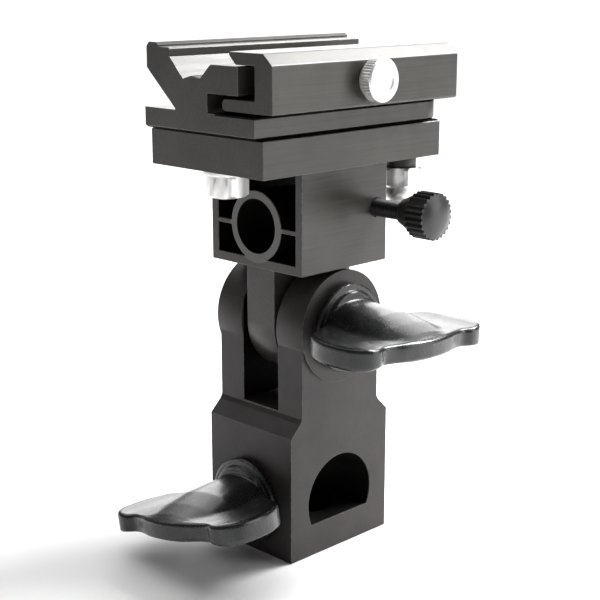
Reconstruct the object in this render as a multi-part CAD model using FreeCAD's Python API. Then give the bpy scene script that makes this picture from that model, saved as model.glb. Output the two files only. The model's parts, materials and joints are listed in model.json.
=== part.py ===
import FreeCAD, Part
import math
import os

# Umbrella swivel bracket, in millimetres.
# +Z is up, X runs along the shoe rail and the umbrella tube, Y is the tilt axis.
# The origin is the centre of the stand socket's mouth, on the bottom face of the clamp block.

# ---- driving dimensions ----
BLOCK_X = 29.5          # clamp block, outside
BLOCK_Y = 25.0
BLOCK_TOP = 27.8        # height where the shoulders start
NECK_X = 23.0           # fork neck width
NECK_BASE = 31.3        # height where the shoulders end
SOCKET_R = 8.25         # takes a 16 mm (5/8 in) stand spigot
SOCKET_DEPTH = 26.0
WINDOW_R = 9.6          # D-shaped window across the socket
WINDOW_Z = 11.2
WINDOW_SILL = 6.9

HINGE_Z = 49.4          # tilt axis height
EAR_R = 12.0
EAR_PROUD = 0.5         # round pad standing out from each ear
SLOT = 10.7             # gap between the ears
SLOT_FLOOR = 31.7
TONGUE = 8.3            # tongue thickness
TONGUE_R = 11.4
BOLT_R = 2.95           # M6 thread, running in 3.0 mm holes
BOLT_HOLE_R = 3.0

BOX_X = 25.2            # hollow umbrella box under the head plate
BOX_Y = 27.0
BOX_BOTTOM = 61.9
BOX_WALL = 1.9
TUBE_Z = 70.6           # umbrella tube axis
TUBE_R = 7.45
TUBE_BORE_R = 5.6
RIB = 1.0
HEAD_X = 52.0           # head plate
HEAD_Y = 33.1
HEAD_BOTTOM = 83.3
HEAD_TOP = 91.0

BASE_X = 55.4           # shoe base extrusion
BASE_Y = 32.4
BASE_TOP = 95.1
BASE_CORNER = 5.5
BAR_BOTTOM = 98.9       # guide bar the moving jaw wraps
BAR_TOP = 104.4
BAR_END = -11.75
STEM_FACE = -2.9        # the jaw's lower lip closes up to this face
FIXED_FACE = 8.1        # inner face of the fixed jaw
FIXED_TOP = 107.1
BEAD_TOP = 108.0        # bead along the fixed jaw's outer edge

JAW_X = 54.0
JAW_TIP = -8.4          # moving jaw shown opened
JAW_OUT = -20.1
JAW_TOP = 107.0
JAW_BOTTOM = 95.7
JAW_FIT = 0.2           # sliding gap between jaw and bar
JAW_LIP = 2.5           # thickness of the lower lip
JAW_LIP_END = -6.2
JAW_WEB = 4.7
JAW_CHAMFER = 2.2
JAW_SCREW_Z = 101.0
JAW_SCREW_R = 1.45      # M3 thread
JAW_HOLE_R = 1.5
JAW_SCREW_END = -6.2
JAW_HOLE_END = -2.4
THUMB_R = 4.4
THUMB_LENGTH = 2.9

HANDLE_HALF = 20.0      # wing handle, half of its span
HANDLE_OUT = 23.6       # how far it stands out
HANDLE_THICK = 4.4
HUB_R = 9.4
HUB_LENGTH = 2.2
CLAMP_GAP = 1.0         # clamp handle above the block's face
CLAMP_ANGLE = 102.3     # how the clamp handle stands, about its screw
TILT_ANGLE = -2.5       # how the tilt handle stands, about its bolt
PAD_TIP = -8.4

LOCK_X = 9.6            # umbrella lock screw
LOCK_Z = 73.5
LOCK_R = 1.95           # M4 thread, running in 2.0 mm holes
LOCK_HOLE_R = 2.0
KNOB_R = 4.9
KNOB_BACK = -21.0
KNOB_KNURL = -25.0
KNOB_FRONT = -30.0
LOCK_TIP_END = -5.7

STUD_R = 2.5            # M5 studs hold the shoe base to the head plate
NUT_FLATS = 8.0
HEX_SITE = (-20.3, 0.0)
HEX_STUD_TOP = 98.4     # this stud runs up into the base's stem
HEX_STUD_FOOT = 77.4
HEX_NUT = 4.4
HEX_WASHER = 1.0
CAP_SITE = (19.8, -11.2)
CAP_STUD_TOP = 94.4
CAP_NUT = 8.8
CAP_SPACER = 2.4
CAP_HEX = 4.2           # height of the cap nut's hexagon
CAP_DOME_R = 3.6
CAP_END = 2.6           # thickness left over the stud's end
HEX_WASHER_R = 4.8
CAP_SPACER_R = 3.2

INSERT_R = 4.2          # brass insert for the clamp screw
INSERT_GAP = 0.3
BOLT_FLATS = 10.0       # hex head of the tilt bolt, let into the far ear
BOLT_HEAD = 4.0
BOLT_REACH = 12.5       # how far the bolt stands out of the near ear
HINGE_WASHER_R = 9.2
FACE_GAP = 0.05         # gap between faces that rub

PAD_R = 2.6             # swivelling pad at the clamp screw's tip
PAD_HEAD = 2.0
PAD_STEM_R = 1.2
PAD_LENGTH = 4.4
PAD_HOLE_DEPTH = 3.0
COLLAR_R = 4.6          # collar moulded into the clamp handle
COLLAR_START = 3.0
COLLAR_LENGTH = 4.5
SHANK_IN_HANDLE = 6.0
STUD_HOLE_DEPTH = 9.0

HANDLE_WASHER_R = 7.0
HANDLE_WASHER = 0.8
TILT_INSERT_R = 4.0     # brass insert in the tilt handle
TILT_INSERT_START = 0.6
TILT_INSERT = 10.0
TILT_HOLE_DEPTH = 13.0

JAW_WASHER_R = 3.6
JAW_WASHER = 0.7
THUMB_DISH_R = 2.6
THUMB_DISH = 0.5
SPRING_WIRE_R = 0.25
SPRING_R = 1.9
SPRING_COILS = 3.0
SPRING_SEAT_R = 2.3
SPRING_SEAT = 1.5       # depth of the seat in the guide bar

KNOB_DEPTH = 1.5        # where the screw ends, in from the knob's face
KNOB_NECK_R = 2.7
TIP_R = 1.9
TIP_HEAD = 1.45
TIP_STEM_R = 0.9
TIP_LENGTH = 4.0

V = FreeCAD.Vector


def out(node, shape):
    shape.exportStep("parts/" + node + ".step")


def box(x0, x1, y0, y1, z0, z1):
    return Part.makeBox(x1 - x0, y1 - y0, z1 - z0, V(x0, y0, z0))


def rod(r, start, direction, length):
    return Part.makeCylinder(r, length, V(*start), V(*direction))


def extrude(points, along):
    wire = Part.makePolygon([V(*p) for p in points] + [V(*points[0])])
    return Part.Face(wire).extrude(V(*along))


def hexagon(flats, start, direction, length):
    # Hexagonal prism with two corners along its local x axis.
    r = flats / math.sqrt(3.0)
    ring = [V(r * math.cos(math.radians(60 * k)), r * math.sin(math.radians(60 * k)), 0)
            for k in range(7)]
    prism = Part.Face(Part.makePolygon(ring)).extrude(V(0, 0, length))
    prism.Placement = FreeCAD.Placement(V(*start), FreeCAD.Rotation(V(0, 0, 1), V(*direction)))
    return prism


def knurled(r, start, direction, length, count, depth):
    # Cylinder with straight grooves cut round its rim.
    body = Part.makeCylinder(r, length)
    for k in range(count):
        a = 2 * math.pi * k / count
        centre = V((r + depth * 0.6) * math.cos(a), (r + depth * 0.6) * math.sin(a), 0)
        body = body.cut(Part.makeCylinder(depth * 1.4, length, centre))
    body.Placement = FreeCAD.Placement(V(*start), FreeCAD.Rotation(V(0, 0, 1), V(*direction)))
    return body


def ring(r_out, r_in, start, direction, length):
    return rod(r_out, start, direction, length).cut(rod(r_in, start, direction, length))


def clamp_body():
    half = BLOCK_X / 2
    neck = NECK_X / 2
    outline = [(-half, 0), (half, 0), (half, BLOCK_TOP), (neck + 0.6, NECK_BASE - 0.9),
               (neck, NECK_BASE), (neck, HINGE_Z), (-neck, HINGE_Z), (-neck, NECK_BASE),
               (-neck - 0.6, NECK_BASE - 0.9), (-half, BLOCK_TOP)]
    y0 = -BLOCK_Y / 2
    body = extrude([(x, y0, z) for x, z in outline], (0, BLOCK_Y, 0))
    ear_y = y0 - EAR_PROUD
    body = body.fuse(rod(EAR_R, (0, ear_y, HINGE_Z), (0, 1, 0), BLOCK_Y + 2 * EAR_PROUD))
    body = body.cut(box(-20, 20, -SLOT / 2, SLOT / 2, SLOT_FLOOR, HINGE_Z + 20))
    body = body.cut(rod(SOCKET_R, (0, 0, 0), (0, 0, 1), SOCKET_DEPTH))
    window = rod(WINDOW_R, (0, -20, WINDOW_Z), (0, 1, 0), 40)
    window = window.cut(box(-20, 20, -20, 20, WINDOW_Z - 20, WINDOW_SILL))
    body = body.cut(window)
    body = body.cut(rod(INSERT_R, (-half, 0, WINDOW_Z), (1, 0, 0), half - WINDOW_R + 1))
    body = body.cut(rod(BOLT_HOLE_R, (0, -20, HINGE_Z), (0, 1, 0), 40))
    body = body.cut(hexagon(BOLT_FLATS + 0.2, (0, BLOCK_Y / 2 - BOLT_HEAD - 0.4, HINGE_Z), (0, 1, 0), 10))
    return body.removeSplitter()


def pad_insert():
    start = (-BLOCK_X / 2, 0, WINDOW_Z)
    return ring(INSERT_R, BOLT_HOLE_R, start, (1, 0, 0), BLOCK_X / 2 - WINDOW_R - INSERT_GAP)


def hinge_bolt():
    head_y = BLOCK_Y / 2 - BOLT_HEAD - 0.3
    head = hexagon(BOLT_FLATS, (0, head_y, HINGE_Z), (0, 1, 0), BOLT_HEAD)
    shank = rod(BOLT_R, (0, head_y, HINGE_Z), (0, -1, 0), head_y + BLOCK_Y / 2 + BOLT_REACH)
    return head.fuse(shank)


def hinge_washers():
    gap = (SLOT - TONGUE) / 2
    face = TONGUE / 2 + FACE_GAP
    thick = gap - 2 * FACE_GAP
    left = ring(HINGE_WASHER_R, BOLT_HOLE_R, (0, face, HINGE_Z), (0, 1, 0), thick)
    right = ring(HINGE_WASHER_R, BOLT_HOLE_R, (0, -face, HINGE_Z), (0, -1, 0), thick)
    return Part.makeCompound([left, right])


def wing_handle(bore_r, bore_depth, pocket_r, pocket_start, pocket_length):
    # Built standing on its hub: span along x, thickness along y, outward along z.
    half = HANDLE_HALF
    top = HANDLE_OUT
    side = [V(7.0, 0, HUB_LENGTH), V(12.5, 0, 3.6), V(17.0, 0, 6.4), V(19.4, 0, 10.5),
            V(half, 0, 15.0), V(half - 0.6, 0, 19.6), V(half - 3.4, 0, 22.2),
            V(12.0, 0, 21.8), V(6.5, 0, 22.6), V(0, 0, top)]
    points = side + [V(-p.x, 0, p.z) for p in reversed(side[:-1])]
    curve = Part.BSplineCurve()
    curve.interpolate(points)
    edge = curve.toShape()
    base = Part.makeLine(points[-1], points[0])
    blade = Part.Face(Part.Wire([edge, base])).extrude(V(0, HANDLE_THICK, 0))
    blade.translate(V(0, -HANDLE_THICK / 2, 0))
    hub = Part.makeCylinder(HUB_R, HUB_LENGTH)
    cone = Part.makeCone(8.2, 2.6, 17.0, V(0, 0, HUB_LENGTH))
    body = hub.fuse([cone, blade])
    body = body.cut(Part.makeCylinder(bore_r, bore_depth))
    body = body.cut(Part.makeCylinder(pocket_r, pocket_length, V(0, 0, pocket_start)))
    return body.removeSplitter()


def stand_out(shape, start, direction, angle):
    # Turns a piece built along +z to stand out from a side face.
    turn = FreeCAD.Rotation(V(0, 0, 1), V(*direction))
    spin = FreeCAD.Rotation(V(*direction), angle)
    copy = shape.copy()
    copy.Placement = FreeCAD.Placement(V(*start), spin.multiply(turn))
    return copy


def clamp_pad():
    tip = rod(PAD_R, (PAD_TIP, 0, WINDOW_Z), (-1, 0, 0), PAD_HEAD)
    stem = rod(PAD_STEM_R, (PAD_TIP, 0, WINDOW_Z), (-1, 0, 0), PAD_LENGTH)
    return tip.fuse(stem)


def clamp_stud(hub_x):
    start = PAD_TIP - PAD_HEAD - FACE_GAP
    shank = rod(BOLT_R, (start, 0, WINDOW_Z), (-1, 0, 0), start - hub_x + SHANK_IN_HANDLE)
    collar = rod(COLLAR_R, (hub_x - COLLAR_START, 0, WINDOW_Z), (-1, 0, 0), COLLAR_LENGTH)
    stud = shank.fuse(collar)
    return stud.cut(rod(PAD_STEM_R + FACE_GAP, (start, 0, WINDOW_Z), (-1, 0, 0), PAD_HOLE_DEPTH))


def umbrella_block():
    hx = BOX_X / 2
    hy = BOX_Y / 2
    body = box(-hx, hx, -hy, hy, BOX_BOTTOM, HEAD_BOTTOM)
    hollow = box(-hx - 1, hx + 1, -hy + BOX_WALL, hy - BOX_WALL, BOX_BOTTOM + 2.0, HEAD_BOTTOM)
    body = body.cut(hollow)
    tube = rod(TUBE_R, (-hx, 0, TUBE_Z), (1, 0, 0), BOX_X)
    rib = box(-hx, hx, -hy + 1, hy - 1, TUBE_Z - RIB / 2, TUBE_Z + RIB / 2)
    plate = box(-HEAD_X / 2, HEAD_X / 2, -HEAD_Y / 2, HEAD_Y / 2, HEAD_BOTTOM, HEAD_TOP)
    top_edges = [e for e in plate.Edges if min(v.Z for v in e.Vertexes) > HEAD_TOP - 0.01]
    plate = plate.makeChamfer(0.5, top_edges)
    tongue = rod(TONGUE_R, (0, -TONGUE / 2, HINGE_Z), (0, 1, 0), TONGUE)
    tongue = tongue.fuse(box(-TONGUE_R, TONGUE_R, -TONGUE / 2, TONGUE / 2, HINGE_Z, BOX_BOTTOM))
    body = body.fuse([tube, rib, plate, tongue])
    body = body.cut(rod(TUBE_BORE_R, (-hx - 1, 0, TUBE_Z), (1, 0, 0), BOX_X + 2))
    body = body.cut(rod(LOCK_HOLE_R, (LOCK_X, -hy - 1, LOCK_Z), (0, 1, 0), hy))
    body = body.cut(rod(BOLT_HOLE_R, (0, -20, HINGE_Z), (0, 1, 0), 40))
    for x, y in (HEX_SITE, CAP_SITE):
        body = body.cut(rod(STUD_R, (x, y, HEAD_BOTTOM - 1), (0, 0, 1), 20))
    return body.removeSplitter()


def base_profile():
    # Section of the shoe base above its flange: stem, V groove, fixed jaw with its bead, guide bar.
    low = BASE_TOP - 0.5
    return [(STEM_FACE, low), (6.8, low), (6.8, BASE_TOP + 0.3), (14.6, 102.3), (15.3, 103.0),
            (15.3, BEAD_TOP - 0.9), (14.5, BEAD_TOP), (12.3, BEAD_TOP), (11.6, BEAD_TOP - 0.5),
            (11.6, FIXED_TOP), (FIXED_FACE + 0.3, FIXED_TOP), (FIXED_FACE, FIXED_TOP - 0.3),
            (FIXED_FACE, 105.3), (4.2, 101.3), (1.7, 102.0), (-0.9, 101.6), (-4.0, BAR_TOP),
            (BAR_END + 0.3, BAR_TOP), (BAR_END, BAR_TOP - 0.3), (BAR_END, BAR_BOTTOM + 0.3),
            (BAR_END + 0.3, BAR_BOTTOM), (STEM_FACE, BAR_BOTTOM)]


def shoe_base():
    half = BASE_X / 2
    flange = box(-half, half, -BASE_Y / 2, BASE_Y / 2, HEAD_TOP, BASE_TOP)
    corners = [e for e in flange.Edges
               if abs(e.Vertexes[0].X - half) < 0.01 and abs(e.Vertexes[1].X - half) < 0.01
               and abs(e.Vertexes[0].Z - e.Vertexes[1].Z) > 1]
    flange = flange.makeFillet(BASE_CORNER, corners)
    rim = [e for e in flange.Edges if max(v.Z for v in e.Vertexes) < HEAD_TOP + 0.01]
    flange = flange.makeChamfer(0.4, rim)
    rail = extrude([(-half, y, z) for y, z in base_profile()], (BASE_X - 0.8, 0, 0))
    body = flange.fuse(rail)
    bore = rod(JAW_HOLE_R, (0, -14, JAW_SCREW_Z), (0, 1, 0), 14 + JAW_HOLE_END)
    seat = rod(SPRING_SEAT_R, (0, -14, JAW_SCREW_Z), (0, 1, 0), 14 + BAR_END + SPRING_SEAT)
    body = body.cut(bore).cut(seat)
    for (x, y), top in ((HEX_SITE, HEX_STUD_TOP), (CAP_SITE, CAP_STUD_TOP)):
        body = body.cut(rod(STUD_R, (x, y, HEAD_TOP - 1), (0, 0, 1), top - HEAD_TOP + 1))
    return body.removeSplitter()


def shoe_studs():
    cap_foot = HEAD_BOTTOM - CAP_SPACER - CAP_NUT + CAP_END
    hex_stud = rod(STUD_R, (*HEX_SITE, HEX_STUD_FOOT), (0, 0, 1), HEX_STUD_TOP - HEX_STUD_FOOT)
    foot_edge = [e for e in hex_stud.Edges if max(v.Z for v in e.Vertexes) < HEX_STUD_FOOT + 0.1]
    hex_stud = hex_stud.makeChamfer(0.5, foot_edge)
    cap_stud = rod(STUD_R, (*CAP_SITE, cap_foot), (0, 0, 1), CAP_STUD_TOP - cap_foot)
    return Part.makeCompound([hex_stud, cap_stud])


def shoe_washer():
    return ring(HEX_WASHER_R, STUD_R, (*HEX_SITE, HEAD_BOTTOM), (0, 0, -1), HEX_WASHER)


def shoe_spacer():
    return ring(CAP_SPACER_R, STUD_R, (*CAP_SITE, HEAD_BOTTOM), (0, 0, -1), CAP_SPACER)


def rounded_hexagon(site, foot, height):
    # Hexagonal nut with its corners turned away at both ends.
    r = NUT_FLATS / math.sqrt(3.0)
    nut = hexagon(NUT_FLATS, (*site, foot), (0, 0, 1), height)
    lower = Part.makeCone(NUT_FLATS / 2, r + height, height + r - NUT_FLATS / 2, V(*site, foot))
    upper = Part.makeCone(r + height, NUT_FLATS / 2, height + r - NUT_FLATS / 2,
                          V(*site, foot - r + NUT_FLATS / 2))
    return nut.common(lower).common(upper)


def shoe_hex_nut():
    foot = HEAD_BOTTOM - HEX_WASHER - HEX_NUT
    nut = rounded_hexagon(HEX_SITE, foot, HEX_NUT)
    return nut.cut(rod(STUD_R, (*HEX_SITE, foot - 1), (0, 0, 1), HEX_NUT + 2))


def shoe_cap_nut():
    top = HEAD_BOTTOM - CAP_SPACER
    foot = top - CAP_NUT
    body = rounded_hexagon(CAP_SITE, top - CAP_HEX, CAP_HEX)
    neck = rod(CAP_DOME_R, (*CAP_SITE, foot + CAP_DOME_R), (0, 0, 1), 3.0)
    dome = Part.makeSphere(CAP_DOME_R, V(*CAP_SITE, foot + CAP_DOME_R))
    body = body.fuse([neck, dome])
    return body.cut(rod(STUD_R, (*CAP_SITE, foot + CAP_END), (0, 0, 1), CAP_NUT))


def shoe_jaw():
    web_in = JAW_OUT + JAW_WEB
    under = BAR_TOP + JAW_FIT
    lip = JAW_BOTTOM + JAW_LIP
    end = JAW_LIP_END
    section = [(JAW_OUT, JAW_BOTTOM + 0.3), (JAW_OUT + 0.3, JAW_BOTTOM), (end - 0.9, JAW_BOTTOM),
               (end - 0.2, JAW_BOTTOM + 0.5), (end, (JAW_BOTTOM + lip) / 2), (end - 0.2, lip - 0.5),
               (end - 0.9, lip), (web_in, lip), (web_in, under), (JAW_TIP - 1.9, under),
               (JAW_TIP, JAW_TOP - 0.5), (JAW_TIP - 0.2, JAW_TOP), (JAW_OUT + 2.5, JAW_TOP),
               (JAW_OUT, JAW_TOP - JAW_CHAMFER)]
    body = extrude([(-JAW_X / 2, y, z) for y, z in section], (JAW_X, 0, 0))
    return body.cut(rod(JAW_HOLE_R, (0, -30, JAW_SCREW_Z), (0, 1, 0), 20))


def jaw_washer():
    return ring(JAW_WASHER_R, JAW_HOLE_R, (0, JAW_OUT - FACE_GAP, JAW_SCREW_Z), (0, -1, 0), JAW_WASHER)


def jaw_thumbscrew():
    start = JAW_OUT - JAW_WASHER - 2 * FACE_GAP
    head = knurled(THUMB_R, (0, start, JAW_SCREW_Z), (0, -1, 0), THUMB_LENGTH, 30, 0.35)
    dish = rod(THUMB_DISH_R, (0, start - THUMB_LENGTH, JAW_SCREW_Z), (0, 1, 0), THUMB_DISH)
    shank = rod(JAW_SCREW_R, (0, start, JAW_SCREW_Z), (0, 1, 0), JAW_SCREW_END - start)
    return head.cut(dish).fuse(shank)


def jaw_spring():
    start = BAR_END + SPRING_SEAT - SPRING_WIRE_R - FACE_GAP
    end = JAW_OUT + JAW_WEB + SPRING_WIRE_R + FACE_GAP
    helix = Part.makeHelix((start - end) / SPRING_COILS, start - end, SPRING_R)
    profile = Part.Wire(Part.makeCircle(SPRING_WIRE_R, V(SPRING_R, 0, 0), V(0, 1, 0)))
    coil = Part.Wire(helix).makePipeShell([profile], True, True)
    coil.Placement = FreeCAD.Placement(V(0, end, JAW_SCREW_Z), FreeCAD.Rotation(V(0, 0, 1), V(0, 1, 0)))
    return coil


def lock_knob():
    body = knurled(KNOB_R, (LOCK_X, KNOB_KNURL, LOCK_Z), (0, -1, 0), KNOB_KNURL - KNOB_FRONT, 24, 0.4)
    back_at = V(LOCK_X, KNOB_BACK, LOCK_Z)
    face_at = V(LOCK_X, KNOB_FRONT, LOCK_Z)
    back = Part.makeCone(KNOB_NECK_R, KNOB_R - 0.5, KNOB_BACK - KNOB_KNURL, back_at, V(0, -1, 0))
    face = Part.makeCone(KNOB_R - 0.5, KNOB_R - 1.6, 0.6, face_at, V(0, -1, 0))
    body = body.fuse([back, face])
    return body.cut(rod(LOCK_R, (LOCK_X, KNOB_FRONT + KNOB_DEPTH, LOCK_Z), (0, 1, 0), 20))


def lock_screw():
    start = LOCK_TIP_END - TIP_HEAD - FACE_GAP
    length = start - KNOB_FRONT - KNOB_DEPTH
    shank = rod(LOCK_R, (LOCK_X, start, LOCK_Z), (0, -1, 0), length)
    return shank.cut(rod(TIP_STEM_R + FACE_GAP, (LOCK_X, start, LOCK_Z), (0, -1, 0), PAD_HOLE_DEPTH))


def lock_tip():
    tip = rod(TIP_R, (LOCK_X, LOCK_TIP_END, LOCK_Z), (0, -1, 0), TIP_HEAD)
    return tip.fuse(rod(TIP_STEM_R, (LOCK_X, LOCK_TIP_END, LOCK_Z), (0, -1, 0), TIP_LENGTH))


def main():
    os.makedirs("parts", exist_ok=True)
    clamp_x = -BLOCK_X / 2 - CLAMP_GAP
    washer_y = -BLOCK_Y / 2 - EAR_PROUD - FACE_GAP
    tilt_y = washer_y - HANDLE_WASHER - FACE_GAP
    out("clamp_body", clamp_body())
    out("pad_insert", pad_insert())
    out("hinge_bolt", hinge_bolt())
    out("hinge_washers", hinge_washers())
    out("clamp_pad", clamp_pad())
    out("clamp_stud", clamp_stud(clamp_x))
    stud_handle = wing_handle(BOLT_R, STUD_HOLE_DEPTH, COLLAR_R, COLLAR_START, COLLAR_LENGTH)
    out("clamp_handle", stand_out(stud_handle, (clamp_x, 0, WINDOW_Z), (-1, 0, 0), CLAMP_ANGLE))
    washer = ring(HANDLE_WASHER_R, BOLT_HOLE_R, (0, washer_y, HINGE_Z), (0, -1, 0), HANDLE_WASHER)
    out("handle_washer", washer)
    nut_handle = wing_handle(BOLT_HOLE_R, TILT_HOLE_DEPTH, TILT_INSERT_R, TILT_INSERT_START, TILT_INSERT)
    out("tilt_handle", stand_out(nut_handle, (0, tilt_y, HINGE_Z), (0, -1, 0), TILT_ANGLE))
    insert_at = (0, tilt_y - TILT_INSERT_START, HINGE_Z)
    out("tilt_insert", ring(TILT_INSERT_R, BOLT_HOLE_R, insert_at, (0, -1, 0), TILT_INSERT))
    out("umbrella_block", umbrella_block())
    out("shoe_base", shoe_base())
    out("shoe_studs", shoe_studs())
    out("shoe_washer", shoe_washer())
    out("shoe_hex_nut", shoe_hex_nut())
    out("shoe_spacer", shoe_spacer())
    out("shoe_cap_nut", shoe_cap_nut())
    out("shoe_jaw", shoe_jaw())
    out("jaw_washer", jaw_washer())
    out("jaw_thumbscrew", jaw_thumbscrew())
    out("jaw_spring", jaw_spring())
    out("lock_knob", lock_knob())
    out("lock_screw", lock_screw())
    out("lock_tip", lock_tip())


main()
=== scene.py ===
import json
import math

import bpy
import numpy as np
from mathutils import Matrix, Quaternion, Vector


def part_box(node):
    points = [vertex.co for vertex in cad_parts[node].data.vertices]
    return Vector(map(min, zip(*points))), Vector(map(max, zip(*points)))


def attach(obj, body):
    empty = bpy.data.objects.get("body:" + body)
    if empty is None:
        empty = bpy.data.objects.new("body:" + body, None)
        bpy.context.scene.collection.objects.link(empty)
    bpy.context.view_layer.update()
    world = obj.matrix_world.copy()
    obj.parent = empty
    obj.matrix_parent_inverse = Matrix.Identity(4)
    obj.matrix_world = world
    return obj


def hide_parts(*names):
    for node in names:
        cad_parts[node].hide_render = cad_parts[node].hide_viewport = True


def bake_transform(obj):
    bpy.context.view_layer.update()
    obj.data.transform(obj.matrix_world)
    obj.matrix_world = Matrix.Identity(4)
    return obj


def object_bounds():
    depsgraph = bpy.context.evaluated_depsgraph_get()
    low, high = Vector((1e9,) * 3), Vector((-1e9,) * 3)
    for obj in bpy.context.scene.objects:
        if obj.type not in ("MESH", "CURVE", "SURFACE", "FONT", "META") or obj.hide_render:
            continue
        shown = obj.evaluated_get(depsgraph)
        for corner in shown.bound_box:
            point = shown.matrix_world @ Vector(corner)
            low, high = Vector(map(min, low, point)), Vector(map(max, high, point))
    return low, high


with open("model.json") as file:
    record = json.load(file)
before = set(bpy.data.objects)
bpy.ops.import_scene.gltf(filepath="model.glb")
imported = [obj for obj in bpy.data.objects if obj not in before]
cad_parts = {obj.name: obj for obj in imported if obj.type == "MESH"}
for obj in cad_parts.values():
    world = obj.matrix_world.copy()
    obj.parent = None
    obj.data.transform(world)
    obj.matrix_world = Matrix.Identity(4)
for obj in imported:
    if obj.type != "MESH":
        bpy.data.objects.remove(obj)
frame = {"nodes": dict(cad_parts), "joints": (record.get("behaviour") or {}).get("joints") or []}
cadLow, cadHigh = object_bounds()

mm = 0.001
joints = {j["name"]: j for j in frame["joints"]}


# shader maths

class Wire:  # a socket that can be used in sums
    def __init__(self, finish, socket):
        self.finish = finish
        self.socket = socket

    def calc(self, operation, first, second=0.0):
        return self.finish.node("Math", {"operation": operation}, {0: first, 1: second})

    def __add__(self, other):
        return self.calc("ADD", self, other)

    __radd__ = __add__

    def __mul__(self, other):
        return self.calc("MULTIPLY", self, other)

    def __sub__(self, other):
        return self.calc("SUBTRACT", self, other)

    def __rsub__(self, other):
        return self.calc("SUBTRACT", other, self)

    def __gt__(self, other):
        return self.calc("GREATER_THAN", self, other)

    def __lt__(self, other):
        return self.calc("LESS_THAN", self, other)

    def __abs__(self):
        return self.calc("ABSOLUTE", self)

    def root(self):
        return self.calc("SQRT", self)

    def sine(self):
        return self.calc("SINE", self)

    def orMore(self, other):
        return self.calc("MAXIMUM", self, other)


class Finish:  # one material and the nodes behind it
    def __init__(self, name, **constants):
        self.material = bpy.data.materials.new(name)
        self.material.use_nodes = True
        self.tree = self.material.node_tree
        self.shader = self.tree.nodes["Principled BSDF"]
        for socket, value in constants.items():
            self.shader.inputs[socket.replace("_", " ")].default_value = value

    def node(self, kind, settings=None, inputs=None, output=0):
        made = self.tree.nodes.new("ShaderNode" + kind)
        for key, value in (settings or {}).items():
            setattr(made, key, value)
        for key, value in (inputs or {}).items():
            self.join(made.inputs[key], value)
        return Wire(self, made.outputs[output])

    def join(self, socket, value):
        if isinstance(value, Wire):
            self.tree.links.new(value.socket, socket)
        else:
            socket.default_value = value

    def feed(self, **links):
        for socket, value in links.items():
            self.join(self.shader.inputs[socket.replace("_", " ")], value)

    def place(self, stretch=(1, 1, 1)):  # where the surface is, in millimetres
        spot = self.node("TexCoord", output="Object")
        sizes = tuple(s * 1000 for s in stretch)
        return self.node("VectorMath", {"operation": "MULTIPLY"}, {0: spot, 1: sizes})

    def axes(self):
        spot = self.place()
        return [self.node("SeparateXYZ", {}, {0: spot}, axis) for axis in "XYZ"]

    def grain(self, scale, stretch=(1, 1, 1), detail=3.0, rough=0.55):
        inputs = {"Vector": self.place(stretch), "Scale": scale, "Detail": detail, "Roughness": rough}
        return self.node("TexNoise", {}, inputs)

    def spread(self, value, low, high, toLow=0.0, toHigh=1.0):
        inputs = {"Value": value, "From Min": low, "From Max": high, "To Min": toLow, "To Max": toHigh}
        return self.node("MapRange", {}, inputs)

    def mix(self, mask, first, second):
        return self.node("Mix", {"data_type": "RGBA"}, {0: mask, 6: first, 7: second}, 2)

    def bumps(self, height, strength, distance=0.0001):
        inputs = {"Height": height, "Strength": strength, "Distance": distance}
        return self.node("Bump", {}, inputs)

    def corners(self, radius, gain):  # 1 on worn corners, 0 on flats
        soft = self.node("Bevel", {"samples": 4}, {"Radius": radius * mm})
        true = self.node("NewGeometry", output="Normal")
        facing = self.node("VectorMath", {"operation": "DOT_PRODUCT"}, {0: soft, 1: true}, "Value")
        return self.spread(1 - facing, 0.0, 1.0 / gain)


def shade(value, tint=(1.0, 1.0, 1.0)):
    return tuple(value * t for t in tint) + (1.0,)


blockFinish = {
    "black": shade(0.019, (1.22, 0.96, 0.96)), "pale": shade(0.030, (1.20, 0.96, 0.96)),
    # the near-black colour is painted shade for the hollows
    "worn": shade(0.17), "paintedShade": shade(0.003),
    "socket": (9.9, 12.2, 27.0),  # half length, half width and top of the painted shade inside the socket
    "fork": (11.3, 5.45, 31.8),  # half length, half width and foot of the painted shade in the slot
}


def blockBlack():
    f = Finish("satinBlackBlock", Specular_IOR_Level=0.36)
    cloud = f.grain(0.12, detail=4.0)
    speck = f.grain(2.6, detail=2.0)
    x, y, z = f.axes()
    socketX, socketY, socketTop = blockFinish["socket"]
    forkX, forkY, forkFoot = blockFinish["fork"]
    # painted shade: the socket and the fork slot are made near black, metallic and rougher so that they look
    # unlit
    socket = (abs(x) < socketX) * (abs(y) < socketY) * (z < socketTop)
    fork = (abs(x) < forkX) * (abs(y) < forkY) * (z > forkFoot)
    paintedCavityShade = socket + fork
    coat = f.mix(f.spread(cloud, 0.35, 0.68), blockFinish["black"], blockFinish["pale"])
    wear = f.corners(radius=0.35, gain=5.0) * f.spread(f.grain(0.9), 0.38, 0.62) * (1 - paintedCavityShade)
    coat = f.mix(wear * 0.55, coat, blockFinish["worn"])
    f.feed(Base_Color=f.mix(paintedCavityShade * 0.95, coat, blockFinish["paintedShade"]), Metallic=paintedCavityShade * 0.9)
    f.feed(Roughness=f.spread(speck, 0.3, 0.7, 0.40, 0.52) - wear * 0.08 + paintedCavityShade * 0.25)
    f.feed(Normal=f.bumps(speck + cloud * 0.4, 0.22, 0.00005))
    return f.material


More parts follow.
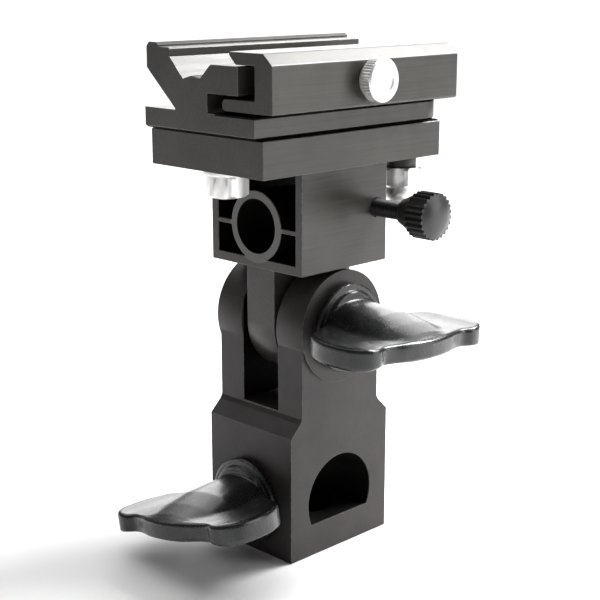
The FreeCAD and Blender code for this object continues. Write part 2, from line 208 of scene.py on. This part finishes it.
anodFinish = {
    "black": shade(0.022, (1.14, 1.03, 0.86)), "pale": shade(0.044, (1.12, 1.03, 0.90)),
    # the near-black colour is painted shade for the hollows, the seam and the gap
    "worn": shade(0.30), "paintedShade": shade(0.002),
    "tube": {"height": 70.6, "bore": 5.75, "outer": 7.7, "inset": 0.35, "face": 12.5},
    "box": {"x": 12.35, "y": 11.65, "low": 63.8, "high": 83.35},  # the hollow round the tube, which gets painted shade
    "seamShadow": {"height": 91.0, "half": 0.32},  # painted shadow on the seam between the head plate and the rail
    "gap": {"height": 95.3, "half": 0.52, "near": -20.3, "far": -5.0},  # painted shadow in the gap under the jaw
}


def anodised(name, hollow=False):
    f = Finish(name, Specular_IOR_Level=0.45)
    along = (0.02, 1.0, 1.0)  # the grain runs along x
    streak = f.grain(2.2, along, 4.0, 0.6)
    fine = f.grain(9.0, along, 2.0, 0.6)
    cloud = f.grain(0.09, detail=3.0)
    wear = f.corners(radius=0.3, gain=5.0) * f.spread(f.grain(0.8), 0.35, 0.6)
    tone = f.spread(streak * 0.5 + cloud * 0.5, 0.36, 0.64)
    coat = f.mix(tone, anodFinish["black"], anodFinish["pale"])
    coat = f.mix(wear * 0.5, coat, anodFinish["worn"])
    rough = f.spread(streak, 0.3, 0.7, 0.30, 0.42) - wear * 0.08
    x, y, z = f.axes()
    # painted shadow along the seam between the head plate and the rail
    seamShadow = abs(z - anodFinish["seamShadow"]["height"]) < anodFinish["seamShadow"]["half"]
    if hollow:
        tube, box = anodFinish["tube"], anodFinish["box"]
        up = z - tube["height"]
        far = (y * y + up * up).root()
        # painted light: the tube's end faces are made paler with the wear grey
        paintedLitRing = (far < tube["outer"]) * (far > tube["bore"]) * (abs(x) > tube["face"])
        coat = f.mix(paintedLitRing * 0.18, coat, anodFinish["worn"])
        # painted shade inside the hollow round the tube and down the tube's bore
        inside = (abs(x) < box["x"]) * (abs(y) < box["y"]) * (z > box["low"]) * (z < box["high"])
        dark = (inside * (far > tube["outer"] - tube["inset"])).orMore(far < tube["bore"])
    else:
        # painted shadow in the gap under the jaw
        gap = anodFinish["gap"]
        dark = (abs(z - gap["height"]) < gap["half"]) * (y < gap["far"]) * (y > gap["near"])
    dark = dark.orMore(seamShadow)
    # dark holds painted shade and painted shadow: it is mixed to near black, made rougher and more metallic
    coat = f.mix(dark * 0.95, coat, anodFinish["paintedShade"])
    rough = rough + dark * 0.45
    f.feed(Metallic=0.15 + dark * 0.8)
    f.feed(Base_Color=coat, Roughness=rough, Normal=f.bumps(fine * 0.6 + streak * 0.4, 0.16, 0.00004))
    return f.material


def mouldedBlack(name, base, rough, peel):
    f = Finish(name, Metallic=0.0, Specular_IOR_Level=0.45, Coat_Roughness=0.16)
    ripple = f.grain(0.35, detail=1.0)
    scuff = f.grain(3.2, (1, 1, 0.15), 5.0, 0.65)
    rubbed = f.corners(radius=0.6, gain=4.0) * f.spread(f.grain(0.6), 0.35, 0.62)
    coat = f.mix(rubbed * 0.5, base, shade(base[0] * 2.4))
    f.feed(Base_Color=f.mix(f.spread(scuff, 0.62, 0.8) * 0.3, coat, shade(base[0] * 3.0)))
    f.feed(Roughness=f.spread(scuff, 0.35, 0.75, rough, rough + 0.14) + rubbed * 0.06)
    f.feed(Coat_Weight=f.spread(ripple, 0.3, 0.7, 0.10, 0.25))
    f.feed(Normal=f.bumps(ripple + scuff * 0.12, peel, 0.00006))
    return f.material


latheRings = 6.0  # turning marks in a millimetre


def turnedMetal(name, base, dark, rough, metal=1.0):  # turned about the piece's own z axis
    f = Finish(name, Metallic=metal)
    x, y, z = f.axes()
    radius = (x * x + y * y).root()
    lathe = (radius * latheRings * math.tau).sine()
    cloud = f.grain(0.5, detail=4.0)
    fleck = f.grain(5.0, detail=2.0)
    f.feed(Base_Color=f.mix(f.spread(cloud, 0.35, 0.75), base, dark))
    f.feed(Roughness=f.spread(fleck, 0.3, 0.7, rough, rough + 0.12) + lathe * 0.02)
    f.feed(Normal=f.bumps(lathe * 0.25 + fleck * 0.5, 0.12, 0.00003))
    return f.material


def washerNylon(name, base, rough):
    f = Finish(name, Metallic=0.0, Specular_IOR_Level=0.45)
    fleck = f.grain(4.0, detail=3.0)
    f.feed(Base_Color=f.mix(f.spread(fleck, 0.4, 0.7), base, shade(base[0] * 1.6)))
    f.feed(Roughness=f.spread(fleck, 0.3, 0.7, rough, rough + 0.15))
    f.feed(Normal=f.bumps(fleck, 0.2, 0.00004))
    return f.material


finishes = {
    "block": blockBlack(),
    "rail": anodised("anodisedRail"),
    "head": anodised("anodisedHead", hollow=True),
    "handle": mouldedBlack("glossBlackHandle", shade(0.008, (0.95, 1.0, 1.1)), 0.24, 0.10),
    "knob": mouldedBlack("knurledBlackKnob", shade(0.009), 0.38, 0.20),
    "nickel": turnedMetal("brightNickel", shade(0.88, (1.0, 0.985, 0.95)), shade(0.76), 0.30, 0.7),
    "steel": turnedMetal("zincSteel", shade(0.56), shade(0.44), 0.28),
    "brass": turnedMetal("turnedBrass", shade(0.74, (1.0, 0.74, 0.36)), shade(0.6, (1.0, 0.7, 0.3)), 0.25),
    "thread": turnedMetal("blackOxide", shade(0.028), shade(0.018), 0.42),
    "washer": washerNylon("blackNylonWasher", shade(0.022), 0.42),
    "tip": washerNylon("naturalNylonTip", shade(0.68, (1.0, 0.98, 0.93)), 0.45),
}
print("finishes made:", len(finishes))


# mesh makers, all in millimetres

def newPiece(name, points, faces, finish, sharp=35.0, matrix=None):
    mesh = bpy.data.meshes.new(name)
    mesh.from_pydata([tuple(float(c) * mm for c in p) for p in points], [], faces)
    mesh.validate()
    mesh.shade_smooth()
    mesh.set_sharp_from_angle(angle=math.radians(sharp))
    mesh.materials.append(finishes[finish])
    piece = bpy.data.objects.new(name, mesh)
    bpy.context.scene.collection.objects.link(piece)
    if matrix is not None:
        piece.matrix_world = matrix
    return piece


def standing(start, direction, angle=0.0):  # sends a piece made along +z from a start along a direction
    turn = Vector((0, 0, 1)).rotation_difference(Vector(direction))
    spin = Quaternion(Vector(direction), math.radians(angle))
    return Matrix.Translation(Vector(start) * mm) @ (spin @ turn).to_matrix().to_4x4()


def middleOf(low, high):
    return [(a + b) / 2 / mm for a, b in zip(low, high)]


def revolve(profile, steps, rim=None):
    # profile is (height, radius) from one end to the other, and a radius of 0 closes the end
    points, rings, faces = [], [], []
    for height, radius in profile:
        if radius <= 1e-6:
            rings.append([len(points)])
            points.append((0, 0, height))
            continue
        rings.append(list(range(len(points), len(points) + steps)))
        for k in range(steps):
            a = math.tau * k / steps
            r = rim(a, height, radius) if rim else radius
            points.append((r * math.cos(a), r * math.sin(a), height))
    for low, high in zip(rings, rings[1:]):
        for k in range(steps):
            n = (k + 1) % steps
            if len(low) == 1 and len(high) == 1:
                continue
            if len(low) == 1:
                faces.append((low[0], high[n], high[k]))
            elif len(high) == 1:
                faces.append((low[k], low[n], high[0]))
            else:
                faces.append((low[k], low[n], high[n], high[k]))
    return points, faces


def hexRim(flats):  # keeps a turned profile inside a hexagon
    def rim(a, height, radius):
        return min(radius, flats / 2 / math.cos(a % (math.pi / 3) - math.pi / 6))
    return rim


def knurlRim(teeth, depth, low, high):  # straight grooves between two heights
    def rim(a, height, radius):
        if not low <= height <= high:
            return radius
        wave = 0.5 - 0.5 * math.cos(a * teeth)
        return radius - depth * (1 - wave ** 0.6)
    return rim


threadShape = {
    "depth": 0.55,  # of the pitch
    "bite": 0.4,  # chamfer at each end
    "lead": 0.8,  # length over which the thread runs out
    "shallow": 0.35,  # depth left at the ends
    "ringsPerTurn": 8,
}


def threadRim(pitch, depth, length):  # a screw thread that runs out at both ends
    lead, shallow = threadShape["lead"], threadShape["shallow"]

    def rim(a, height, radius):
        turn = (height / pitch - a / math.tau) % 1.0
        cut = 1 - abs(2 * turn - 1)
        ends = max(0.0, min(1.0, height / lead, (length - height) / lead))
        return radius - depth * cut * (shallow + (1 - shallow) * ends)
    return rim


def threadProfile(radius, length, pitch):
    bite = threadShape["bite"]
    rings = int(length / pitch * threadShape["ringsPerTurn"])
    body = [(length * k / rings, radius) for k in range(rings + 1)]
    foot = [(0, 0), (0, radius - bite), (bite, radius)]
    top = [(length - bite, radius), (length, radius - bite), (length, 0)]
    return foot + [p for p in body if bite < p[0] < length - bite] + top


def joined(*parts):  # several (points, faces) as one
    points, faces = [], []
    for morePoints, moreFaces in parts:
        shift = len(points)
        points += list(morePoints)
        faces += [tuple(i + shift for i in face) for face in moreFaces]
    return points, faces


def lifted(part, height):
    return [(x, y, z + height) for x, y, z in part[0]], part[1]


# wing handle: one moulded solid, found as the zero surface of a distance

wing = {
    "outline": [
        (6.4, 0.9), (9.8, 2.7), (13.2, 3.9), (17.0, 6.4), (19.3, 10.5), (19.9, 15.0), (19.3, 19.4),
        (17.0, 21.9), (14.4, 22.4), (12.0, 21.6), (9.4, 21.9), (6.2, 22.8), (3.0, 23.4), (0.0, 23.6),
    ],
    "rim": 0.85,  # rounding of the blade's edge
    "thick": 1.95,  # half of the blade's thickness
    "tipSwell": (13.0, 4.0, 0.35),  # where it starts, its length and how much thicker
    "rootSwell": (9.0, 6.0, 0.25),
    "dome": (0.6, 22.6, 0.6),  # foot, top and rounding
    "domePower": 2.2,  # 2 is an ellipse, and more is squarer
    "domeSlope": 0.8,
    "fillets": {"dome": 0.65, "hub": 0.35},
    "hub": [(9.4, 1.3, 0.35), (7.9, 2.3, 0.3)],  # radius, height and rounding of each step
    "bore": (3.0, 12.0),
    "low": (-21.0, -10.2, -0.6), "high": (21.0, 10.2, 24.6), "cell": 0.34,  # the grid it is found on
    "lineSteps": 6,
}
domeHeights = [0.0, 3.0, 7.0, 12.0, 17.0, 21.0, 23.2]
domeHalfWidths = [8.0, 8.5, 9.4, 10.4, 10.2, 8.6, 6.0]
domeHalfHeights = [6.3, 6.1, 5.7, 5.1, 3.9, 2.8, 1.9]


def smoothLine(points, steps):  # a rounded line through the points
    p = np.array([points[0]] + list(points) + [points[-1]], float)
    line = []
    for a, b, c, d in zip(p, p[1:], p[2:], p[3:]):
        for s in np.arange(steps) / steps:
            line.append(0.5 * (2 * b + (c - a) * s + (2 * a - 5 * b + 4 * c - d) * s**2
                               + (3 * b - a - 3 * c + d) * s**3))
    return np.array(line + [p[-1]])


halfLine = smoothLine(wing["outline"], wing["lineSteps"])
wholeLine = np.vstack([halfLine, halfLine[-2::-1] * (-1, 1)])


def planDistance(u, w):  # distance to the plan outline, below 0 inside
    a = wholeLine
    b = np.roll(a, -1, 0)
    e = b - a
    du = u[:, None] - a[None, :, 0]
    dw = w[:, None] - a[None, :, 1]
    s = np.clip((du * e[:, 0] + dw * e[:, 1]) / (e**2).sum(1), 0, 1)
    gap = np.sqrt(((du - s * e[:, 0]) ** 2 + (dw - s * e[:, 1]) ** 2).min(1))
    over = (a[:, 1] > w[:, None]) != (b[:, 1] > w[:, None])
    rise = np.where(np.abs(e[:, 1]) < 1e-9, 1e-9, e[:, 1])
    cross = over & (du < e[:, 0] * dw / rise)
    return np.where(cross.sum(1) % 2 == 1, -gap, gap)


def fuse(a, b, k):  # union with a fillet
    h = np.clip(0.5 + 0.5 * (b - a) / k, 0, 1)
    return b + (a - b) * h - k * h * (1 - h)


def rounded(side, cap, r):
    over = np.sqrt(np.maximum(side + r, 0) ** 2 + np.maximum(cap + r, 0) ** 2)
    return np.minimum(np.maximum(side, cap) + r, 0) + over - r


def wingDistance(p):
    u, t, w = p[:, 0], p[:, 1], p[:, 2]
    side = planDistance(u, w)
    x = np.abs(u)
    tipStart, tipLength, tipGain = wing["tipSwell"]
    rootStart, rootLength, rootGain = wing["rootSwell"]
    tipSwell = tipGain * np.clip((x - tipStart) / tipLength, 0, 1) ** 2
    rootSwell = rootGain * np.clip((rootStart - w) / rootLength, 0, 1)
    thick = wing["thick"] + tipSwell + rootSwell
    blade = rounded(side, np.abs(t) - thick, wing["rim"])
    a = np.interp(w, domeHeights, domeHalfWidths)
    b = np.interp(w, domeHeights, domeHalfHeights)
    power = wing["domePower"]
    q = (np.abs(u / a) ** power + np.abs(t / b) ** power) ** (1 / power)
    domeFoot, domeTop, domeRim = wing["dome"]
    dome = rounded((q - 1) * b * wing["domeSlope"], np.maximum(w - domeTop, domeFoot - w), domeRim)
    body = fuse(blade, dome, wing["fillets"]["dome"])
    r = np.hypot(u, t)
    for radius, height, edge in wing["hub"]:
        step = rounded(r - radius, np.abs(w - height / 2) - height / 2, edge)
        body = fuse(body, step, wing["fillets"]["hub"])
    boreRadius, boreDepth = wing["bore"]
    bore = np.maximum(r - boreRadius, w - boreDepth)
    return np.maximum(body, -bore)


def surfaceOf(distance, low, high, cell, batch=40000):
    # one point in every cell the surface crosses, a face across every crossed edge
    counts = [int(math.ceil((h - l) / cell)) + 1 for l, h in zip(low, high)]
    lines = [l + cell * np.arange(n) for l, n in zip(low, counts)]
    grid = np.stack(np.meshgrid(*lines, indexing="ij"), -1)
    flat = grid.reshape(-1, 3)
    starts = range(0, len(flat), batch)
    values = np.concatenate([distance(flat[k:k + batch]) for k in starts]).reshape(counts)
    inside = values < 0
    number = -np.ones([n - 1 for n in counts], int)
    total = np.zeros([n - 1 for n in counts])
    for dx in (0, 1):
        for dy in (0, 1):
            for dz in (0, 1):
                total += inside[dx:counts[0] - 1 + dx, dy:counts[1] - 1 + dy, dz:counts[2] - 1 + dz]
    crossed = (total > 0) & (total < 8)
    number[crossed] = np.arange(crossed.sum())
    points = grid[:-1, :-1, :-1][crossed] + cell / 2
    faces = []
    for axis in range(3):
        first = np.take(inside, range(counts[axis] - 1), axis)
        second = np.take(inside, range(1, counts[axis]), axis)
        one, two = [k for k in range(3) if k != axis]
        for i, j, k in np.argwhere(first != second):
            spot = [i, j, k]
            if spot[one] == 0 or spot[one] >= counts[one] - 1:
                continue
            if spot[two] == 0 or spot[two] >= counts[two] - 1:
                continue
            loop = []
            for a, b in ((-1, -1), (0, -1), (0, 0), (-1, 0)):
                cellSpot = list(spot)
                cellSpot[one] += a
                cellSpot[two] += b
                loop.append(int(number[tuple(cellSpot)]))
            flip = bool(first[i, j, k]) == (axis == 1)
            faces.append(tuple(loop[::-1]) if flip else tuple(loop))
    return points, faces


def settle(points, faces, distance, rounds=4, probe=0.02, reach=0.4):
    # evens the mesh out and lays it on the surface, moving a point by no more than the reach at once
    edges = np.array([(f[k], f[(k + 1) % 4]) for f in faces for k in range(4)])
    degree = np.bincount(edges.ravel(), minlength=len(points))[:, None].astype(float)

    def lay(p):
        value = distance(p)
        change = [distance(p + probe * e) - distance(p - probe * e) for e in np.eye(3)]
        slope = np.stack(change, 1) / (2 * probe)
        size = np.maximum((slope**2).sum(1), 0.05)
        move = slope * (value / size)[:, None]
        far = np.linalg.norm(move, axis=1, keepdims=True)
        return p - move * np.minimum(1, reach / np.maximum(far, 1e-9))

    for k in range(rounds):
        points = lay(points)
        if k < rounds - 1:
            mean = np.zeros_like(points)
            np.add.at(mean, edges[:, 0], points[edges[:, 1]])
            np.add.at(mean, edges[:, 1], points[edges[:, 0]])
            points = points * 0.5 + mean / degree * 0.5
    return lay(points)


wingPoints, wingFaces = surfaceOf(wingDistance, wing["low"], wing["high"], wing["cell"])
wingPoints = settle(wingPoints, wingFaces, wingDistance)
print("wing surface:", len(wingPoints), "points")


def makeWing(name, node, body, joint, direction, angle):
    low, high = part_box(node)
    pivot = Vector(joints[joint]["pos_m"]) / mm
    along = Vector(direction)
    near = min(along.dot(low / mm), along.dot(high / mm))  # the hub's end, next to the body
    start = pivot + along * (near - along.dot(pivot))
    piece = newPiece(name, wingPoints, wingFaces, "handle", 50.0)
    piece.data.transform(standing(start, direction, angle))
    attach(piece, body)
    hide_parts(node)
    return piece


handleAngles = {"clamp": 102.3, "tilt": -2.5}  # how each wing stands about its screw
makeWing("clampWing", "clamp_handle", "clamp_wing", "clamp_turn", (-1, 0, 0), handleAngles["clamp"])
makeWing("tiltWing", "tilt_handle", "tilt_wing", "tilt_turn", (0, -1, 0), handleAngles["tilt"])


# screws, nuts and knobs

def fitted(name, part, finish, node, body, matrix, sharp=35.0):
    piece = newPiece(name, part[0], part[1], finish, sharp, matrix)
    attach(piece, body)
    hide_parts(node)
    return piece


def threaded(radius, length, pitch, steps=40):
    depth = threadShape["depth"] * pitch
    return revolve(threadProfile(radius, length, pitch), steps, threadRim(pitch, depth, length))


clampScrew = {"radius": 2.95, "pitch": 1.0, "tip": -10.45, "end": -21.75}
low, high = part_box("clamp_stud")
axisHeight = middleOf(low, high)[2]
length = clampScrew["tip"] - clampScrew["end"]
screwPart = threaded(clampScrew["radius"], length, clampScrew["pitch"])
fitted("clampScrew", screwPart, "steel", "clamp_stud", "clamp_wing",
       standing((clampScrew["tip"], 0, axisHeight), (-1, 0, 0)))

tiltBolt = {
    "flats": 10.0, "head": 4.0, "radius": 2.95, "pitch": 1.0, "overlap": 0.2,
    "profile": [(0, 0), (0, 4.3), (0.15, 4.75), (0.7, 5.8), (3.4, 5.8), (4.0, 4.9), (4.0, 0)],
}
low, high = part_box("hinge_bolt")
hingeHeight = middleOf(low, high)[2]
headOuter = high.y / mm
shank = headOuter - tiltBolt["head"] - low.y / mm
headPart = revolve(tiltBolt["profile"], 96, hexRim(tiltBolt["flats"]))
shankPart = threaded(tiltBolt["radius"], shank + tiltBolt["overlap"], tiltBolt["pitch"])
boltPart = joined(headPart, lifted(shankPart, tiltBolt["head"] - tiltBolt["overlap"]))
fitted("tiltBolt", boltPart, "steel", "hinge_bolt", "stand_clamp",
       standing((0, headOuter, hingeHeight), (0, -1, 0)))

shoeStuds = {
    "radius": 2.48, "pitch": 0.8,
    "sites": ((-20.3, 0.0, 77.4, 98.4), (19.8, -11.2, 74.7, 94.4)),  # x, y, foot and top
}
studParts = []
for x, y, foot, top in shoeStuds["sites"]:
    points, faces = threaded(shoeStuds["radius"], top - foot, shoeStuds["pitch"])
    studParts.append(([(px + x, py + y, pz + foot) for px, py, pz in points], faces))
fitted("shoeStuds", joined(*studParts), "steel", "shoe_studs", "head", Matrix.Identity(4))

low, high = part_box("shoe_hex_nut")
hexNut = {"flats": 8.0, "half": [(0.25, 2.35), (0, 2.6), (0, 4.0), (0.5, 4.7)]}  # bore to corner
h = (high.z - low.z) / mm
half = hexNut["half"]
nutProfile = half + [(h - height, radius) for height, radius in half[::-1]] + half[:1]
nutPart = revolve(nutProfile, 96, hexRim(hexNut["flats"]))
x, y, _ = middleOf(low, high)
fitted("shoeHexNut", nutPart, "nickel", "shoe_hex_nut", "head",
       standing((x, y, low.z / mm), (0, 0, 1)), 28.0)

low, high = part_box("shoe_cap_nut")
capNut = {
    "flats": 8.0, "dome": 3.6,
    "body": [(4.25, 3.6), (4.2, 3.95), (3.7, 4.7), (0.5, 4.7), (0, 4.0), (0, 2.6), (5.0, 2.4), (5.4, 0)],
}  # the body's points are measured down from the top face
h = (high.z - low.z) / mm
r = capNut["dome"]
dome = [(r * (1 - math.cos(math.radians(a))), r * math.sin(math.radians(a))) for a in range(0, 91, 6)]
capProfile = dome + [(h - depth, radius) for depth, radius in capNut["body"]]
capPart = revolve(capProfile, 96, hexRim(capNut["flats"]))
x, y, _ = middleOf(low, high)
fitted("shoeCapNut", capPart, "nickel", "shoe_cap_nut", "head",
       standing((x, y, low.z / mm), (0, 0, 1)), 28.0)

low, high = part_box("jaw_thumbscrew")
thumb = {
    "head": 2.9, "teeth": 44, "depth": 0.22, "shank": 1.45, "pitch": 0.5, "overlap": 0.2,
    "knurled": (0.4, 2.52),
    "profile": [(0, 0), (0.16, 1.2), (0.32, 2.35), (0.05, 2.75), (0, 3.0), (0.02, 3.85), (0.14, 4.12),
                (0.36, 4.3), (0.42, 4.4), (2.5, 4.4), (2.56, 4.25), (2.9, 3.8), (2.9, 0)],
}
shankLength = (high.y - low.y) / mm - thumb["head"]
thumbPart = revolve(thumb["profile"], 264, knurlRim(thumb["teeth"], thumb["depth"], *thumb["knurled"]))
shankPart = threaded(thumb["shank"], shankLength + thumb["overlap"], thumb["pitch"], 32)
x, _, z = middleOf(low, high)
fitted("jawThumbscrew", joined(thumbPart, lifted(shankPart, thumb["head"] - thumb["overlap"])), "nickel",
       "jaw_thumbscrew", "thumbscrew", standing((x, low.y / mm, z), (0, 1, 0)), 30.0)

low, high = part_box("lock_knob")
knob = {
    "teeth": 24, "depth": 0.45, "knurled": (0.98, 5.52), "length": 9.6,
    "profile": [(0, 0), (0.06, 1.4), (0.24, 2.6), (0.5, 3.4), (0.6, 3.6), (0.75, 4.1), (0.95, 4.4),
                (1.0, 4.9), (5.5, 4.9), (5.62, 4.42), (6.4, 4.1), (8.6, 3.0), (9.4, 2.72), (9.6, 2.5),
                (9.6, 2.0), (6.0, 2.0), (6.0, 0)],
}
knobLength = (high.y - low.y) / mm
knobPart = revolve(knob["profile"], 192, knurlRim(knob["teeth"], knob["depth"], *knob["knurled"]))
knobPart = ([(px, py, pz * knobLength / knob["length"]) for px, py, pz in knobPart[0]], knobPart[1])
x, _, z = middleOf(low, high)
fitted("lockKnob", knobPart, "knob", "lock_knob", "lock",
       standing((x, low.y / mm, z), (0, 1, 0)), 40.0)

low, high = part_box("lock_screw")
lockScrew = {"radius": 1.93, "pitch": 0.7}
lockPart = threaded(lockScrew["radius"], (high.y - low.y) / mm, lockScrew["pitch"], 36)
x, _, z = middleOf(low, high)
fitted("lockScrew", lockPart, "thread", "lock_screw", "lock",
       standing((x, high.y / mm, z), (0, -1, 0)))

low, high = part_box("jaw_spring")
spring = {
    "wire": 0.25, "coil": 1.9, "turns": 3.0, "steps": 28, "around": 10,
    "deadTurns": 1.0, "deadPitch": 1.9,  # in wire radii, under 2 so that the end coils press together
}
springStart = low.y / mm + spring["wire"]
springEnd = high.y / mm - spring["wire"]
springHeight = middleOf(low, high)[2]
turns = spring["turns"] + 2 * spring["deadTurns"]
pathPoints = []
for k in range(int(turns * spring["steps"]) + 1):
    t = k / spring["steps"]
    live = min(max((t - spring["deadTurns"]) / spring["turns"], 0), 1)
    dead = min(t, spring["deadTurns"]) + max(t - spring["turns"] - spring["deadTurns"], 0)
    step = spring["wire"] * spring["deadPitch"]
    y = springStart + step * dead + live * (springEnd - springStart - 2 * spring["deadTurns"] * step)
    a = math.tau * t
    pathPoints.append(Vector((spring["coil"] * math.cos(a), y, springHeight + spring["coil"] * math.sin(a))))
springPoints, springFaces = [], []
for k, spot in enumerate(pathPoints):
    ahead = (pathPoints[min(k + 1, len(pathPoints) - 1)] - pathPoints[max(k - 1, 0)]).normalized()
    outward = Vector((spot.x, 0, spot.z - springHeight)).normalized()
    third = ahead.cross(outward)
    for n in range(spring["around"]):
        a = math.tau * n / spring["around"]
        springPoints.append(spot + (outward * math.cos(a) + third * math.sin(a)) * spring["wire"])
for k in range(len(pathPoints) - 1):
    for n in range(spring["around"]):
        m = (n + 1) % spring["around"]
        base, after = k * spring["around"], (k + 1) * spring["around"]
        springFaces.append((base + n, after + n, after + m, base + m))
springFaces.append(tuple(range(spring["around"])))
last = len(springPoints) - 1
springFaces.append(tuple(range(last, last - spring["around"], -1)))
springPiece = newPiece("jawSpring", springPoints, springFaces, "steel", 60.0)
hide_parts("jaw_spring")
springHeight * mm
springHeight * mm
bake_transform(springPiece)
print("fasteners made")


# CAD pieces that keep their shape: softened edges and a finish

carried = {
    "clamp_body": ("block", 0.35), "umbrella_block": ("head", 0.28), "shoe_base": ("rail", 0.22),
    "shoe_jaw": ("rail", 0.25), "pad_insert": ("brass", 0.12), "hinge_washers": ("washer", 0.15),
    "clamp_pad": ("tip", 0.25), "handle_washer": ("washer", 0.18), "tilt_insert": ("brass", 0.15),
    "shoe_washer": ("nickel", 0.12), "shoe_spacer": ("washer", 0.2), "jaw_washer": ("nickel", 0.1),
    "lock_tip": ("tip", 0.2),
}
edges = {"weld": 0.002, "segments": 3, "angle": 28}
for node, (finish, edge) in carried.items():
    piece = frame["nodes"][node]
    piece.data.materials.clear()
    piece.data.materials.append(finishes[finish])
    weld = piece.modifiers.new("weld", "WELD")
    weld.merge_threshold = edges["weld"] * mm
    soften = piece.modifiers.new("soften", "BEVEL")
    soften.width = edge * mm
    soften.segments = edges["segments"]
    soften.limit_method = "ANGLE"
    soften.angle_limit = math.radians(edges["angle"])
    soften.use_clamp_overlap = True
    soften.harden_normals = True
    soften.miter_outer = "MITER_ARC"
print("carried pieces finished:", len(carried))


# stage, light and camera

stageSettings = {"floorSize": 12.0, "floorDrop": 0.0001, "horizon": 0.14, "backdrop": 1.0}
floorMesh = bpy.data.meshes.new("floor")
s = stageSettings["floorSize"]
floorMesh.from_pydata([(-s, -s, 0), (s, -s, 0), (s, s, 0), (-s, s, 0)], [], [(0, 1, 2, 3)])
floor = bpy.data.objects.new("floor", floorMesh)
floor.location.z = cadLow.z - stageSettings["floorDrop"]
bpy.context.scene.collection.objects.link(floor)
paper = Finish("paleFloor", Roughness=0.9, Specular_IOR_Level=0.2)
paper.feed(Base_Color=paper.mix(paper.spread(paper.grain(0.02), 0.3, 0.7), shade(0.93), shade(0.90)))
floorMesh.materials.append(paper.material)

world = bpy.data.worlds.new("studio")
world.use_nodes = True
world.node_tree.nodes["Background"].inputs["Color"].default_value = (1.0, 0.995, 0.99, 1)
rays = world.node_tree.nodes.new("ShaderNodeLightPath")
glow = world.node_tree.nodes.new("ShaderNodeMapRange")  # a pale backdrop that adds little light of its own
glow.inputs["To Min"].default_value = stageSettings["horizon"]
glow.inputs["To Max"].default_value = stageSettings["backdrop"]
world.node_tree.links.new(rays.outputs["Is Camera Ray"], glow.inputs["Value"])
world.node_tree.links.new(glow.outputs["Result"], world.node_tree.nodes["Background"].inputs["Strength"])
bpy.context.scene.world = world

middle = Vector((0.00014, -0.00014, 0.05271))  # where the camera looks
lamps = {  # place, aim, size and power
    "ceiling": ((2.4, 2.4, 3.6), (2.4, 2.4, 0.0), 9.0, 296.0),
    "rightSoft": ((0.34, -0.46, 0.20), middle, 0.34, 1.0),
    "sideSoft": ((0.41, -0.16, 0.52), middle, 0.28, 8.0),
    "rearSoft": ((4.2, 4.2, 1.95), middle, 4.2, 150.0),
}
for name, (place, aim, size, power) in lamps.items():
    lamp = bpy.data.lights.new(name, "AREA")
    lamp.shape = "DISK"
    lamp.size = size
    lamp.energy = power
    holder = bpy.data.objects.new(name, lamp)
    holder.location = place
    holder.rotation_euler = (Vector(aim) - Vector(place)).to_track_quat("-Z", "Y").to_euler()
    bpy.context.scene.collection.objects.link(holder)

cameraSettings = {
    "azimuth": -44.83, "elevation": 14.14, "distance": 0.2837,
    "lens": 78.9, "sensor": 36.0, "clip": (0.01, 50.0),
}
a = math.radians(cameraSettings["azimuth"])
e = math.radians(cameraSettings["elevation"])
back = Vector((math.sin(a) * math.cos(e), -math.cos(a) * math.cos(e), math.sin(e)))
lensData = bpy.data.cameras.new("camera")
lensData.lens = cameraSettings["lens"]
lensData.sensor_width = cameraSettings["sensor"]
lensData.clip_start, lensData.clip_end = cameraSettings["clip"]
camera = bpy.data.objects.new("camera", lensData)
camera.location = middle + back * cameraSettings["distance"]
camera.rotation_euler = (-back).to_track_quat("-Z", "Y").to_euler()
bpy.context.scene.collection.objects.link(camera)
bpy.context.scene.camera = camera
bpy.context.scene.view_settings.view_transform = "Standard"
